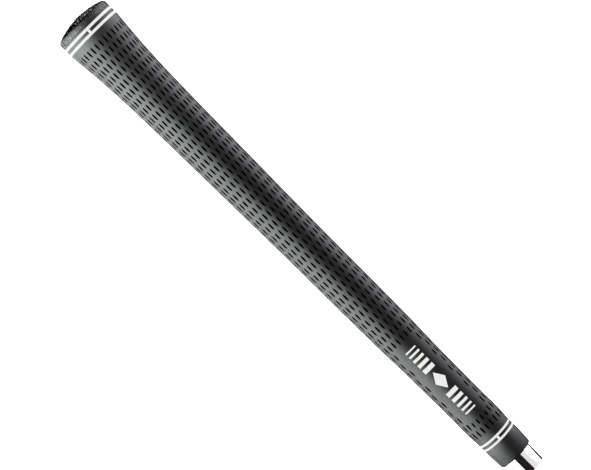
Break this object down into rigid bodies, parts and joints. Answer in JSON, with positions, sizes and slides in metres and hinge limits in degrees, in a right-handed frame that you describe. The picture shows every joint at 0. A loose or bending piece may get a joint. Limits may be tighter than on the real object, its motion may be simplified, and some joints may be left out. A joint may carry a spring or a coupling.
{
  "type": "golf grip",
  "caption": "Tapered round rubber golf grip with slit texture, painted rings and a domed butt cap, fitted on the butt end of a steel shaft.",
  "frame": {"origin": "centre of the shaft's free end", "axes": "+Z along the shaft's axis to the butt cap, -Y through the marked top line of the grip, +X across it"},
  "size_m": [0.0274, 0.0274, 0.28],
  "materials": {
    "sleeve_rubber": "matte, buffed",
    "cap_rubber": "matte, pebbled crown",
    "white_paint": "satin rubber paint",
    "tape_paper": "creped paper tape",
    "shaft_chrome": "polished"
  },
  "bodies": {
    "root": {"grip_sleeve": "sleeve_rubber", "end_cap": "cap_rubber", "butt_ring_upper": "white_paint", "butt_ring_lower": "white_paint", "butt_index_tick": "white_paint", "mouth_ring_upper": "white_paint", "mouth_ring_lower": "white_paint", "mouth_index_tick": "white_paint", "panel_marks": "white_paint", "grip_tape": "tape_paper", "shaft_butt": "shaft_chrome"}
  },
  "joints": []
}
